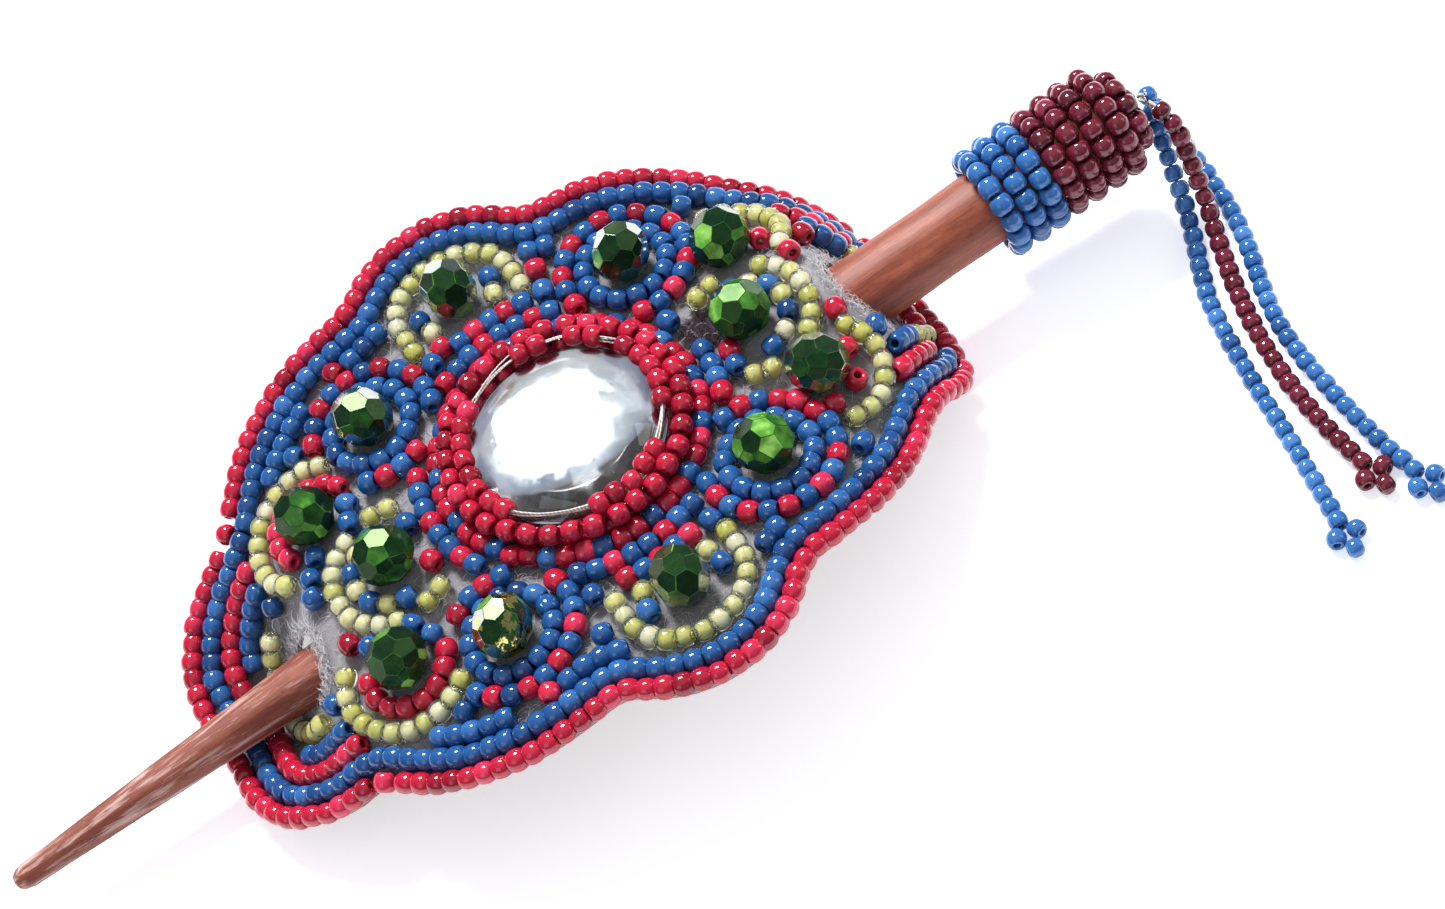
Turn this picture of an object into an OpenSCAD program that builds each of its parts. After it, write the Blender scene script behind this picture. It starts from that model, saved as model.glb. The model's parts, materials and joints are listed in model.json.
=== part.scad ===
// Beaded hair pin: an arched leather panel sewn with seed beads, twelve
// faceted stones and a domed mirror, held by a tapered wooden stick that
// passes through the panel's two holes. The stick's thick end wears a cap of
// woven beads with a tassel of three bead strands.
//
// Frame: +X along the stick towards the cap, +Y to the back edge, +Z up. The
// origin is on the table, under the middle of panel and stick together.

/* [Beads] */
// Diameter of the seed beads
bead_d = 2.12; // [2:0.02:2.12]
// Length of a seed bead along its hole
bead_len = 1.56; // [1.3:0.02:1.56]
// Diameter of the hole through a seed bead
bead_hole = 0.84; // [0.7:0.02:0.9]
// Diameter of the smaller beads of the tassel
tassel_bead_d = 2; // [1.8:0.05:2]

/* [Panel] */
// Height of the felt above the table under the mirror
panel_top = 15.6; // [15.4:0.1:17]
// Thickness of the felt that the beads are sewn to
felt_t = 0.7; // [0.5:0.1:0.7]
// Thickness of the card stiffener
card_t = 0.4; // [0.3:0.1:0.4]
// Thickness of the leather backing
leather_t = 0.6; // [0.4:0.1:0.6]

/* [Stones and mirror] */
// Diameter of the faceted stones
stone_d = 6.2; // [5.8:0.1:6.6]
// Diameter of the glass dome
mirror_d = 20.4; // [19:0.1:20.4]
// Height of the glass dome
mirror_h = 6.4; // [5.5:0.1:6.8]

/* [Stick] */
// Diameter of the stick at its thick end
stick_d = 8; // [7:0.1:8]
// Height of the stick's axis above the table under the mirror
stick_height = 8.9; // [8.9:0.1:9.2]
// Slope of the stick on the table, in degrees
stick_tilt = 2.9; // [2.7:0.1:3.1]

/* [Cap] */
// Number of beads round the cap
cap_count = 16; // [16:1:16]
// Spacing of the cap's columns along the stick
cap_pitch = 2.35; // [2.2:0.05:2.4]

/* [Hidden] */
$fn = 48;

red = "crimson";
blue = "royalblue";
yellow = "khaki";
burgundy = "#5a1f2e";

// The stick's ends along its own axis, measured from under the mirror
tip_x = -70;
butt_x = 63.6;
// How far everything moves along X so that the origin is under the middle
origin_shift = 1.05;

// The panel's three layers
panel_t = felt_t + card_t + leather_t;
tab_top = panel_t;
bead_r = bead_d / 2;
bead_lift = bead_r + 0.1;

// The holes: [middle, half width along X, half width along Y], left then right
holes = [[-33.2, 2.8, 5.6], [32, 2.9, 5.6]];

// Stones: the side pair lies on the stick's line, the top pair across it
side_stone = [21.1, 0];
top_stones_xy = [[-1.3, 22.8], [0.8, -22.4]];
// The stones towards the stick's thick end stand a little closer in than the others
four = [[1, 1], [-1, 1], [-1, -1], [1, -1]];
function corner_stone(s) = s.x > 0 ? [14.8, 14.7] : [15.3, 15.4];
function shoulder_stone(s) = s.x > 0 ? [23.5, 9.2] : [25.2, 10.2];
corner_xy = [for (s = four) [s.x * corner_stone(s).x, s.y * corner_stone(s).y]];
shoulder_xy = [for (s = four) [s.x * shoulder_stone(s).x, s.y * shoulder_stone(s).y]];
side_xy = [side_stone, -side_stone];
ring_r = 4.3;

// ---------------------------------------------------------------- panel form

function clamp01(t) = max(0, min(1, t));
function smooth(t) = let (c = clamp01(t)) c * c * (3 - 2 * c);
function bell(y, width) = exp(-pow(y / width, 2));

// Lobes of the outline, as circles [x, y, radius] round the line of the edge beads
lobes = [
    [-1.5, 20.6, 12.3], [0.5, -20.4, 12.5],
    [12, 6, 20.6], [12, -6, 20.6], [-14, 6, 22.3], [-14, -6, 22.3],
    [25.5, 4.5, 12], [25.5, -4.5, 12], [-33.5, 5, 11.6], [-33.5, -5, 11.6]
];

// Distance from the middle to where a ray at angle a leaves a lobe
function lobe_exit(lobe, a) =
    let (
        c = [lobe.x, lobe.y],
        along = c * [cos(a), sin(a)],
        reach = along * along - c * c + lobe[2] * lobe[2]
    )
    reach > 0 ? max(0, along + sqrt(reach)) : 0;

// The outline in polar form: the lobes blended so that no valley is sharp
blend_power = 30;
function outline_r(a) =
    pow([for (l = lobes) pow(lobe_exit(l, a) / 40, blend_power)] * [for (l = lobes) 1], 1 / blend_power) * 40;

// Height of the panel's long edges above the table, easing out where they reach it
ease = 1.6;
function edge_height(x) =
    let (
        m = max(abs(x) - 10, 0),
        left = panel_top - tab_top - (x < 0 ? 0.0412 * pow(m, 1.6) : 0.00753 * pow(m, 2.3))
    )
    tab_top + (left + sqrt(left * left + ease * ease)) / 2;

// Height of the ridge that the stick lifts along the middle
function ridge_height(x) =
    let (m = max(abs(x) - 10, 0))
    panel_top + (x < 0 ? -3 * pow(m / 20.5, 1.6) : 0.9 * smooth(m / 19));

// Height of the felt: a ridge inside the holes, pressed down outside them
past_span = 2.8;
function felt_z(x, y) =
    let (
        edge = edge_height(x),
        h = x < 0 ? holes[0] : holes[1],
        past = smooth((abs(x) - abs(h.x) + h.y) / (past_span * h.y)),
        lift = (ridge_height(x) - edge) * bell(y, 15),
        press = (tab_top - edge) * bell(y, 9)
    )
    edge + (1 - past) * lift + past * press;

function felt_point(p) = [p.x, p.y, felt_z(p.x, p.y)];

// Unit normal of the felt
function felt_normal(p) =
    let (
        d = 0.2,
        gx = (felt_z(p.x + d, p.y) - felt_z(p.x - d, p.y)) / (2 * d),
        gy = (felt_z(p.x, p.y + d) - felt_z(p.x, p.y - d)) / (2 * d),
        n = [-gx, -gy, 1]
    )
    n / norm(n);

function bead_centre(p) = felt_point(p) + bead_lift * felt_normal(p);
function stone_centre(p) = felt_point(p) + (stone_d / 2 + 0.1) * felt_normal(p);

// ---------------------------------------------------------------- bead rows

// A row is [name, colours, plan points, pitch]; its beads take the colours in turn
function ring(c, rx, ry, a0, a1, step = 6) =
    let (n = ceil(abs(a1 - a0) / step))
    [for (i = [0:n]) let (a = a0 + (a1 - a0) * i / n) [c.x + rx * cos(a), c.y + ry * sin(a)]];

// A row of beads k rows inside the outline, found by walking inwards over the slope
row_pitch = 2.3;
function outline_point(a) = outline_r(a) * [cos(a), sin(a)];
function walk_in(p, dir, left) =
    left <= 0 ? p
    : let (
        share = min(left, 1),
        next = p + dir * share * row_pitch / norm(bead_centre(p + dir) - bead_centre(p)),
        reached = norm(bead_centre(next) - bead_centre(p))
    )
    walk_in(p + (next - p) * share * row_pitch / reached, dir, left - share);
function outline_row(k, a0, a1, step = 2) =
    let (n = ceil((a1 - a0) / step))
    [for (i = [0:n])
        let (
            a = a0 + (a1 - a0) * i / n,
            t = outline_point(a + 1) - outline_point(a - 1),
            up = felt_normal(outline_point(a)),
            slope = -[up.x, up.y] / up.z,
            across = t + slope * (slope * t)
        )
        walk_in(outline_point(a), [-across.y, across.x] / norm(across), k)];

// An arc round a shoulder stone, running outwards from the stick's side
function shoulder_ring(s, rx, ry, a0, a1) =
    [for (p = ring([0, 0], rx, ry, a0, a1))
        [s.x * (shoulder_stone(s).x + p.x), s.y * (shoulder_stone(s).y - p.y)]];

rows = [
    ["edge", [red], outline_row(0, 0, 360), 1.82],
    ["border", [blue], outline_row(1, 0, 360), 1.84],
    for (c = corner_xy) ["corner_inner", [blue], ring(c, ring_r, ring_r, 0, 360), 1.9],
    for (s = four)
        ["shoulder_red", [red], shoulder_ring(s, s.x > 0 ? 3.8 : ring_r, s.x > 0 ? 3.8 : ring_r, 35, -175), 1.9],
    for (s = [1, -1])
        ["side_mixed", [blue, yellow],
            [for (p = ring([0, 0], ring_r, ring_r, -100, 100)) [s * (side_stone.x + p.x), p.y]], 2.1],
    ["mirror_inner", [red, red, blue], ring([0, 0], 13.6, 13.6, 0, 360), 1.86],
    for (s = [1, -1])
        ["side_yellow", [yellow],
            [for (p = ring([0, 0], 6.6, 6.3, -128, 128)) [s * (side_stone.x + p.x), p.y]], 1.86],
    for (s = four)
        ["shoulder_yellow", [yellow], shoulder_ring(s, s.x > 0 ? 5.95 : 6.6, s.x > 0 ? 5.95 : 6.6, 42, -165), 1.86],
    for (h = holes)
        ["hole_yellow", [yellow],
            [for (p = ring([0, 0], h.y + 1.3, h[2] + 1.2, -75, 75)) [h.x + sign(h.x) * p.x, p.y]], 1.86],
    for (c = top_stones_xy)
        ["top_yellow", [yellow],
            [for (p = concat([[6.4, -4]], ring([0, 0], 6.4, 5.3, 0, 180), [[-6.4, -4]]))
                [c.x + p.x, c.y + sign(c.y) * p.y]], 1.86],
    for (c = top_stones_xy, s = [1, -1])
        ["top_mixed", [yellow, blue],
            [for (p = ring([0, 0], 4.2, ring_r, -55, 25)) [c.x + s * p.x, c.y + sign(c.y) * p.y]], 2.1],
    for (c = corner_xy) ["corner_outer", [blue, red], ring(c, 6.5, 6.5, 0, 360), 1.9],
    ["mirror_outer", [blue, blue, red], ring([0, 0], 15.85, 15.85, 0, 360), 1.86],
    for (a = [0, 180]) ["tab_red", [red], outline_row(2, a - 38, a + 38), 1.84],
    for (a = [0, 180]) ["tab_blue", [blue], outline_row(3, a - 34, a + 34), 1.84],
    ["filler", [blue], outline_row(2, 0, 360), 1.84],
    ["filler", [blue, blue, red], outline_row(3, 0, 360), 1.84],
    for (c = corner_xy) ["filler", [blue], ring(c, 8.7, 8.7, 0, 360), 1.9],
    ["filler", [red, blue], ring([0, 0], 18.05, 18.05, 0, 360), 1.86],
    for (r = [17:1.1:44]) ["filler", [blue, blue, red], ring([0, 0], r, r, 0, 360), 0.93],
    for (a = [0:3:357]) ["filler", [blue, red, blue], [for (r = [16:44]) r * [cos(a), sin(a)]], 0.89]
];

// Running length along a line of points
function lengths(pts) =
    [for (i = 0, s = 0; i < len(pts); s = i < len(pts) - 1 ? s + norm(pts[i + 1] - pts[i]) : s, i = i + 1) s];
function point_at(pts, steps, s) =
    let (n = len(pts) - 1, t = lookup(s, steps), i = min(floor(t), n - 1))
    pts[i] + (t - i) * (pts[i + 1] - pts[i]);

// The beads of one row, spaced evenly: [centre, direction of the hole, name, colour]
function row_beads(row) =
    let (
        pts = [for (p = row[2]) bead_centre(p)],
        s = lengths(pts),
        total = s[len(s) - 1],
        steps = [for (i = [0:len(s) - 1]) [s[i], i]],
        closed = norm(pts[0] - pts[len(pts) - 1]) < 0.01,
        n = floor(total / row[3] + 0.001),
        gap = closed ? total / n : row[3],
        start = closed ? 0 : (total - (n - 1) * row[3]) / 2
    )
    [for (i = [0:n - 1])
        let (
            at = start + i * gap,
            a = point_at(pts, steps, max(0, at - 0.4)),
            b = point_at(pts, steps, min(total, at + 0.4))
        )
        [point_at(pts, steps, at), (b - a) / norm(b - a), row[0], row[1][i % len(row[1])]]];

// What a new bead must keep clear of: holes, mirror, stones and the beads before it
function in_hole(c) =
    [for (h = holes) if (pow((c.x - h.x) / (h.y + 1.1), 2) + pow(c.y / (h[2] + 1.05), 2) < 1) 1] != [];
stones_xyz = [for (p = concat(side_xy, top_stones_xy, corner_xy, shoulder_xy)) stone_centre(p)];
function near_stone(c) = min([for (s = stones_xyz) norm(c - s)]) < stone_d / 2 + bead_r + 0.02;
function outside(c) = norm([c.x, c.y]) > outline_r(atan2(c.y, c.x)) + 1.5;
function near_mirror(c) = norm([c.x, c.y]) < 13.4;
// A worn spot beside the mirror where the beads are missing
worn_spot = [17.3, 2.6];
worn_r = 2.4;
function worn(c) = norm([c.x, c.y] - worn_spot) < worn_r;

// How far a bead with its hole along h reaches in the direction u: less towards its flat ends
function reach(h, u) =
    let (c = min(1, abs(h * u)))
    c > bead_len / bead_d
    ? (bead_len * c + sqrt(bead_d * bead_d - bead_len * bead_len) * sqrt(1 - c * c)) / 2
    : bead_r;
// Two beads are clear of each other where one ends before the other starts along its hole
function apart(v, h1, h2) = abs(v * h1) > bead_len / 2 + reach(h2, h1) + 0.02;
function touching(p, b) =
    let (v = p[0] - b[0])
    norm(v) < bead_d + 0.015 && !apart(v, p[1], b[1]) && !apart(v, b[1], p[1]);

function free_beads(beads, placed) =
    [for (b = beads)
        if (!near_mirror(b[0]) && !in_hole(b[0]) && !near_stone(b[0]) && !outside(b[0]) && !worn(b[0]))
            if ([for (p = placed) if (touching(p, b)) 1] == []) b];
// Beads of one open row that would touch the one before them are left out
function spaced(beads) =
    [for (i = 0, last = [0, 0, 0], keep = false; i <= len(beads);
        keep = i < len(beads) ? norm(beads[i][0] - last) > 1.7 : false,
        last = keep ? beads[i][0] : last,
        i = i + 1)
        if (keep) beads[i - 1]];
function lay(rows, i = 0, placed = [[[0, 0, -99]]]) =
    i == len(rows) ? placed : lay(rows, i + 1, concat(placed, spaced(free_beads(row_beads(rows[i]), placed))));
panel_beads = lay(rows);

// ---------------------------------------------------------------- bead shapes

// A seed bead: a ball cut flat at both ends and bored, its hole along Z
module seed_bead(d = bead_d) {
    rotate_extrude($fn = 24)
        intersection() {
            circle(d = d, $fn = 32);
            translate([bead_hole / 2, -bead_len / 2 * d / bead_d])
                square([d, bead_len * d / bead_d]);
        }
}

// Turns +Z to the direction v
module aim(v) {
    rotate([0, acos(v.z / norm(v)), atan2(v.y, v.x)])
        children();
}

module beads_of(name, shade) {
    color(shade)
        for (b = panel_beads)
            if (b[2] == name && b[3] == shade)
                translate(b[0])
                    aim(b[1])
                        seed_bead();
}

// ---------------------------------------------------------------- placing

module on_table() {
    translate([origin_shift, 0, 0])
        children();
}

// The stick's own frame: X along its axis, origin under the mirror
module on_stick() {
    on_table()
        translate([0, 0, stick_height])
            rotate([0, -stick_tilt, 0])
                children();
}

// ---------------------------------------------------------------- sheets

sheet_turns = 72;
sheet_rings = [0.22, 0.42, 0.56, 0.65, 0.71, 0.76, 0.81, 0.86, 0.91, 0.96, 1];
sheet_margin = 0.1;
// How far the felt's flat facets keep under the curved surface that the beads follow
felt_slack = 0.1;

// How far a flat facet would stand above the curved surface where it is hollow
facet_reach = 1.4;
function hollow(p) =
    max([0, for (a = [0, 45, 90, 135])
        let (d = facet_reach * [cos(a), sin(a)], q = p + d, r = p - d)
        (felt_z(q.x, q.y) + felt_z(r.x, r.y)) / 2 - felt_z(p.x, p.y)]);

// A sheet that follows the panel, between two depths under the felt's surface
module sheet(top, bottom, rings, sink = 0) {
    n = sheet_turns;
    m = len(rings);
    plan = [[0, 0], for (f = rings, i = [0:n - 1])
        let (a = 360 / n * i) f * (outline_r(a) + sheet_margin) * [cos(a), sin(a)]];
    upper = [for (p = plan) felt_point(p) - [0, 0, top + sink * hollow(p)]];
    lower = [for (p = plan) felt_point(p) - [0, 0, bottom]];
    k = len(plan);
    function id(ring, i) = 1 + ring * n + i % n;
    fan = [for (i = [0:n - 1]) [0, id(0, i + 1), id(0, i)]];
    bands = [for (r = [0:m - 2], i = [0:n - 1])
        each [[id(r, i), id(r, i + 1), id(r + 1, i)], [id(r, i + 1), id(r + 1, i + 1), id(r + 1, i)]]];
    faces_up = concat(fan, bands);
    faces_down = [for (f = faces_up) [f[2] + k, f[1] + k, f[0] + k]];
    rim = [for (i = [0:n - 1])
        each [[id(m - 1, i), id(m - 1, i + 1), id(m - 1, i) + k],
            [id(m - 1, i + 1), id(m - 1, i + 1) + k, id(m - 1, i) + k]]];
    polyhedron(points = concat(upper, lower), faces = concat(faces_up, faces_down, rim));
}

// The two holes for the stick, as upright oval prisms
module stick_holes(margin = 0) {
    for (h = holes)
        linear_extrude(height = 40, center = true)
            polygon([for (a = [0:15:345]) [h.x + (h.y + margin) * cos(a), (h[2] + margin) * sin(a)]]);
}

module felt_foundation() {
    color("lightgray")
        on_table()
            difference() {
                sheet(felt_slack, felt_t, sheet_rings, sink = 1);
                stick_holes();
            }
}

module card_stiffener() {
    color("tan")
        on_table()
            difference() {
                sheet(felt_t, felt_t + card_t, [for (f = sheet_rings) if (f < 1) f]);
                stick_holes(1);
            }
}

module leather_backing() {
    color("saddlebrown")
        on_table()
            difference() {
                sheet(felt_t + card_t, panel_t, sheet_rings);
                stick_holes();
            }
}

// ---------------------------------------------------------------- mirror

foil_t = 0.2;
dome_edge = 2.2;
dome_r = (pow(mirror_d / 2, 2) + pow(mirror_h - dome_edge, 2)) / (2 * (mirror_h - dome_edge));
mirror_base = felt_z(0, 0);
mirror_z = mirror_base + 0.05;

module mirror_foil() {
    color("silver")
        on_table()
            translate([0, 0, mirror_z])
                cylinder(d = mirror_d, h = foil_t);
}

module glass_dome() {
    color("lightcyan")
        on_table()
            translate([0, 0, mirror_z + foil_t])
                intersection() {
                    cylinder(d = mirror_d, h = mirror_h);
                    translate([0, 0, mirror_h - dome_r])
                        sphere(r = dome_r);
                }
}

bezel_count = 33;
// Where the top row is open and only its threads cross the rim, in degrees
bezel_gaps = [[32, 42], [60, 70], [92, 120], [214, 256], [310, 338]];
// The bezel's rows: [radius, height above the felt, share of a pitch turned, gaps]
bezel_rows = [
    [11.4, bead_lift, 0, []],
    [12.25, bead_lift + 2.02, 0.5, []],
    [10.45, bead_lift + 2.6, 0, bezel_gaps]
];

module bezel_beads(row) {
    color(red)
        on_table()
            for (i = [0:bezel_count - 1])
                let (a = 360 / bezel_count * (i + row[2]))
                    if ([for (g = row[3]) if (a > g[0] && a < g[1]) 1] == [])
                        rotate(a)
                            translate([row[0], 0, mirror_base + row[1]])
                                rotate([90, 0, 0])
                                    seed_bead();
}

// ---------------------------------------------------------------- stones

stone_sides = 8;
// Rings of a stone's facets: [height, radius], as shares of its radius
stone_rings = [[-0.84, 0.42], [-0.5, 0.84], [0, 1], [0.5, 0.84], [0.84, 0.42]];

// A faceted stone with its thread hole along Z
module stone() {
    r = stone_d / 2;
    n = stone_sides;
    m = len(stone_rings);
    pts = [for (j = [0:m - 1], i = [0:n - 1])
        let (a = 360 / n * (i + (j % 2) / 2), s = stone_rings[j]) r * [s[1] * cos(a), s[1] * sin(a), s[0]]];
    function id(j, i) = j * n + (i + n) % n;
    bands = [for (j = [0:m - 2], i = [0:n - 1])
        each j % 2 == 0
            ? [[id(j, i), id(j + 1, i), id(j, i + 1)], [id(j, i + 1), id(j + 1, i), id(j + 1, i + 1)]]
            : [[id(j, i), id(j + 1, i + 1), id(j, i + 1)], [id(j, i), id(j + 1, i), id(j + 1, i + 1)]]];
    floor_ring = [for (i = [0:n - 1]) id(0, i)];
    top_ring = [for (i = [n - 1:-1:0]) id(m - 1, i)];
    difference() {
        polyhedron(points = pts, faces = concat([floor_ring], bands, [top_ring]));
        cylinder(d = 1, h = stone_d, center = true);
    }
}

module stones_at(places) {
    color("darkgreen")
        on_table()
            for (p = places)
                translate(stone_centre(p))
                    rotate([90, 0, atan2(p.y, p.x)])
                        rotate([0, 0, 22.5])
                            stone();
}

module side_stones() { stones_at(side_xy); }
module top_stones() { stones_at(top_stones_xy); }
module corner_stones() { stones_at(corner_xy); }
module shoulder_stones() { stones_at(shoulder_xy); }

// ---------------------------------------------------------------- stick and cap

module stick() {
    r = stick_d / 2;
    color("sienna")
        on_stick()
            rotate([0, 90, 0])
                rotate_extrude()
                    polygon([
                        [0, tip_x], [0.7, tip_x + 0.15], [1.15, tip_x + 0.7], [1.35, tip_x + 1.6],
                        [r * 0.71, -31], [r, 20], [r, butt_x - 0.4], [r - 0.4, butt_x], [0, butt_x]
                    ]);
}

cap_r = stick_d / 2 + bead_r + 0.04;
cap_start = 48.9;

// One ring of beads round the stick, their holes along the ring
module cap_ring(x, r, count, turned = 0) {
    for (i = [0:count - 1])
        rotate([360 / count * (i + turned), 0, 0])
            translate([x, 0, r])
                rotate([90, 0, 0])
                    seed_bead();
}

module cap_beads_blue() {
    color(blue)
        on_stick()
            for (k = [0:2])
                cap_ring(cap_start + k * cap_pitch, cap_r, cap_count, (k % 2) / 2);
}

module cap_beads_burgundy() {
    color(burgundy)
        on_stick()
            for (k = [3:6])
                cap_ring(cap_start + k * cap_pitch, cap_r, cap_count, (k % 2) / 2);
}

end_ring_x = butt_x + 1.5;
module cap_end_beads() {
    color(burgundy)
        on_stick() {
            cap_ring(end_ring_x, 3.55, 11);
            cap_ring(end_ring_x + 0.5, 1.26, 3);
        }
}

// ---------------------------------------------------------------- tassel

knot_x = end_ring_x + 2.2;
module tassel_knot() {
    color("ivory")
        on_stick() {
            translate([knot_x, 0, 0])
                sphere(d = 1.2);
            translate([butt_x + 0.3, 0, 0])
                rotate([0, 90, 0])
                    cylinder(d = 0.3, h = knot_x - butt_x - 0.3);
        }
}

// Routes of the three strands over the table, from the knot to their ends
front_route = [
    [67.4, -0.2, 11.6], [67.7, -0.6, 10.4], [67.6, -1.2, 9], [67.1, -2.4, 7], [66.5, -4.4, 4.8],
    [65.6, -7.4, 2.8], [64.3, -10.6, 1.5], [62.9, -13.8, 1.1], [61.3, -18, 1.1], [60.1, -24, 1.1],
    [59.2, -30, 1.1], [58.5, -36, 1.1], [57.6, -42, 1.1], [57, -46, 1.1], [56.6, -49, 1.1]
];
middle_route = [
    [67.4, -0.4, 12.4], [68, -2.2, 11.8], [68.4, -3.9, 10.2], [68.3, -5, 8], [68, -6.6, 5.5],
    [67.4, -8.8, 3.2], [66.4, -11.6, 1.6], [65.4, -14.6, 1.1], [64.1, -19, 1.1], [62.8, -25, 1.1],
    [62.1, -31, 1.1], [62, -37, 1.1], [62.3, -41.5, 1.1], [62.6, -45, 1.1]
];
back_route = [
    [67.6, 0.4, 12], [68.5, 1.7, 10], [69, 1.5, 7.6], [69.2, 0.1, 5.2], [69.6, -2.6, 3],
    [69.7, -6.2, 1.5], [69.2, -10.4, 1.1], [68.1, -14.8, 1.1], [66.5, -19.6, 1.1], [65.2, -25, 1.1],
    [64.8, -31, 1.1], [64.9, -37, 1.1], [65.2, -42.5, 1.1], [65.7, -46, 1.1], [66, -49, 1.1]
];
thread_d = 0.4;
thread_sides = 8;
thread_rings = 26;
strand_pitch = 1.72;
strand_start = 1.3;

// A smooth curve through the route's points
function spline(p, t) =
    let (
        n = len(p) - 1, i = min(floor(t), n - 1), u = t - i,
        a = p[max(i - 1, 0)], b = p[i], c = p[i + 1], d = p[min(i + 2, n)]
    )
    0.5 * (2 * b + (c - a) * u + (2 * a - 5 * b + 4 * c - d) * u * u + (3 * b - a - 3 * c + d) * u * u * u);
function fine(route) = [for (i = [0:(len(route) - 1) * 6]) spline(route, i / 6)];
function route_length(route) = let (s = lengths(fine(route))) s[len(s) - 1];
// Places along a route: [point, direction] at each running length
function along_route(route, places) =
    let (
        pts = fine(route), s = lengths(pts), steps = [for (i = [0:len(s) - 1]) [s[i], i]]
    )
    [for (at = places)
        let (a = point_at(pts, steps, at - 0.3), b = point_at(pts, steps, at + 0.3))
        [point_at(pts, steps, at), (b - a) / norm(b - a)]];

// A thread from the knot to inside the last bead, swept along its route
module thread(route) {
    total = route_length(route) - 1.4;
    frames = along_route(route, [for (i = [0:thread_rings - 1]) 0.5 + (total - 0.5) * i / (thread_rings - 1)]);
    n = thread_sides;
    pts = [for (f = frames)
        let (side = cross(f[1], [1, 0, 0]), u = side / norm(side), v = cross(f[1], u))
        for (k = [0:n - 1]) f[0] + thread_d / 2 * (cos(360 / n * k) * u + sin(360 / n * k) * v)];
    skin = [for (j = [0:thread_rings - 2], k = [0:n - 1])
        let (a = j * n + k, b = j * n + (k + 1) % n)
        each [[a, a + n, b], [b, a + n, b + n]]];
    first = [for (k = [0:n - 1]) k];
    last = [for (k = [n - 1:-1:0]) (thread_rings - 1) * n + k];
    color("ivory")
        on_table()
            polyhedron(points = pts, faces = concat([first], skin, [last]));
}

module strand(route, shade) {
    total = route_length(route) - 1.9;
    count = 1 + floor((total - strand_start) / strand_pitch);
    color(shade)
        on_table()
            for (f = along_route(route, [for (i = [0:count - 1]) total - i * strand_pitch]))
                translate(f[0])
                    aim(f[1])
                        seed_bead(tassel_bead_d);
}

// Three beads that close a strand: one each side and one at the tip
module strand_end(route, shade) {
    total = route_length(route);
    f = along_route(route, [total - 0.31])[0];
    out = [f[1].x, f[1].y, 0] / norm([f[1].x, f[1].y]);
    across = [-out.y, out.x, 0];
    color(shade)
        on_table() {
            for (s = [1, -1])
                translate(f[0] + s * 1.12 * across + 0.2 * out)
                    aim(out + s * 0.4 * across)
                        seed_bead(tassel_bead_d);
            translate(f[0] + 2 * out)
                aim(across)
                    seed_bead(tassel_bead_d);
        }
}

module thread_front() { thread(front_route); }
module thread_middle() { thread(middle_route); }
module thread_back() { thread(back_route); }
module strand_front() { strand(front_route, blue); }
module strand_middle() { strand(middle_route, burgundy); }
module strand_back() { strand(back_route, blue); }
module strand_end_front() { strand_end(front_route, blue); }
module strand_end_middle() { strand_end(middle_route, burgundy); }
module strand_end_back() { strand_end(back_route, blue); }

// ---------------------------------------------------------------- groups of panel beads

module mirror_ring_inner_red() { on_table() beads_of("mirror_inner", red); }
module mirror_ring_inner_blue() { on_table() beads_of("mirror_inner", blue); }
module mirror_ring_outer_red() { on_table() beads_of("mirror_outer", red); }
module mirror_ring_outer_blue() { on_table() beads_of("mirror_outer", blue); }
module edge_beads() { on_table() beads_of("edge", red); }
module border_beads() { on_table() beads_of("border", blue); }
module corner_ring_inner() { on_table() beads_of("corner_inner", blue); }
module corner_ring_outer_red() { on_table() beads_of("corner_outer", red); }
module corner_ring_outer_blue() { on_table() beads_of("corner_outer", blue); }
module shoulder_arc_red() { on_table() beads_of("shoulder_red", red); }
module shoulder_arc_yellow() { on_table() beads_of("shoulder_yellow", yellow); }
module side_arc_yellow() { on_table() beads_of("side_yellow", yellow); }
module side_beads_yellow() { on_table() beads_of("side_mixed", yellow); }
module side_beads_blue() { on_table() beads_of("side_mixed", blue); }
module top_arc_yellow() { on_table() beads_of("top_yellow", yellow); }
module top_beads_yellow() { on_table() beads_of("top_mixed", yellow); }
module top_beads_blue() { on_table() beads_of("top_mixed", blue); }
module hole_arc_yellow() { on_table() beads_of("hole_yellow", yellow); }
module tab_row_red() { on_table() beads_of("tab_red", red); }
module tab_row_blue() { on_table() beads_of("tab_blue", blue); }
module filler_beads_blue() { on_table() beads_of("filler", blue); }
module filler_beads_red() { on_table() beads_of("filler", red); }
module bezel_lower_beads() { bezel_beads(bezel_rows[0]); }
module bezel_middle_beads() { bezel_beads(bezel_rows[1]); }
module bezel_upper_beads() { bezel_beads(bezel_rows[2]); }

leather_backing();
card_stiffener();
felt_foundation();
mirror_foil();
glass_dome();
bezel_lower_beads();
bezel_middle_beads();
bezel_upper_beads();
mirror_ring_inner_red();
mirror_ring_inner_blue();
mirror_ring_outer_red();
mirror_ring_outer_blue();
edge_beads();
border_beads();
side_stones();
top_stones();
corner_stones();
shoulder_stones();
corner_ring_inner();
corner_ring_outer_red();
corner_ring_outer_blue();
shoulder_arc_red();
shoulder_arc_yellow();
side_arc_yellow();
side_beads_yellow();
side_beads_blue();
top_arc_yellow();
top_beads_yellow();
top_beads_blue();
hole_arc_yellow();
tab_row_red();
tab_row_blue();
filler_beads_blue();
filler_beads_red();
stick();
cap_beads_blue();
cap_beads_burgundy();
cap_end_beads();
tassel_knot();
thread_front();
thread_middle();
thread_back();
strand_front();
strand_middle();
strand_back();
strand_end_front();
strand_end_middle();
strand_end_back();
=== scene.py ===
import json
import math
import bpy
import bmesh
import numpy as np
from mathutils import Matrix, Vector


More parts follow.
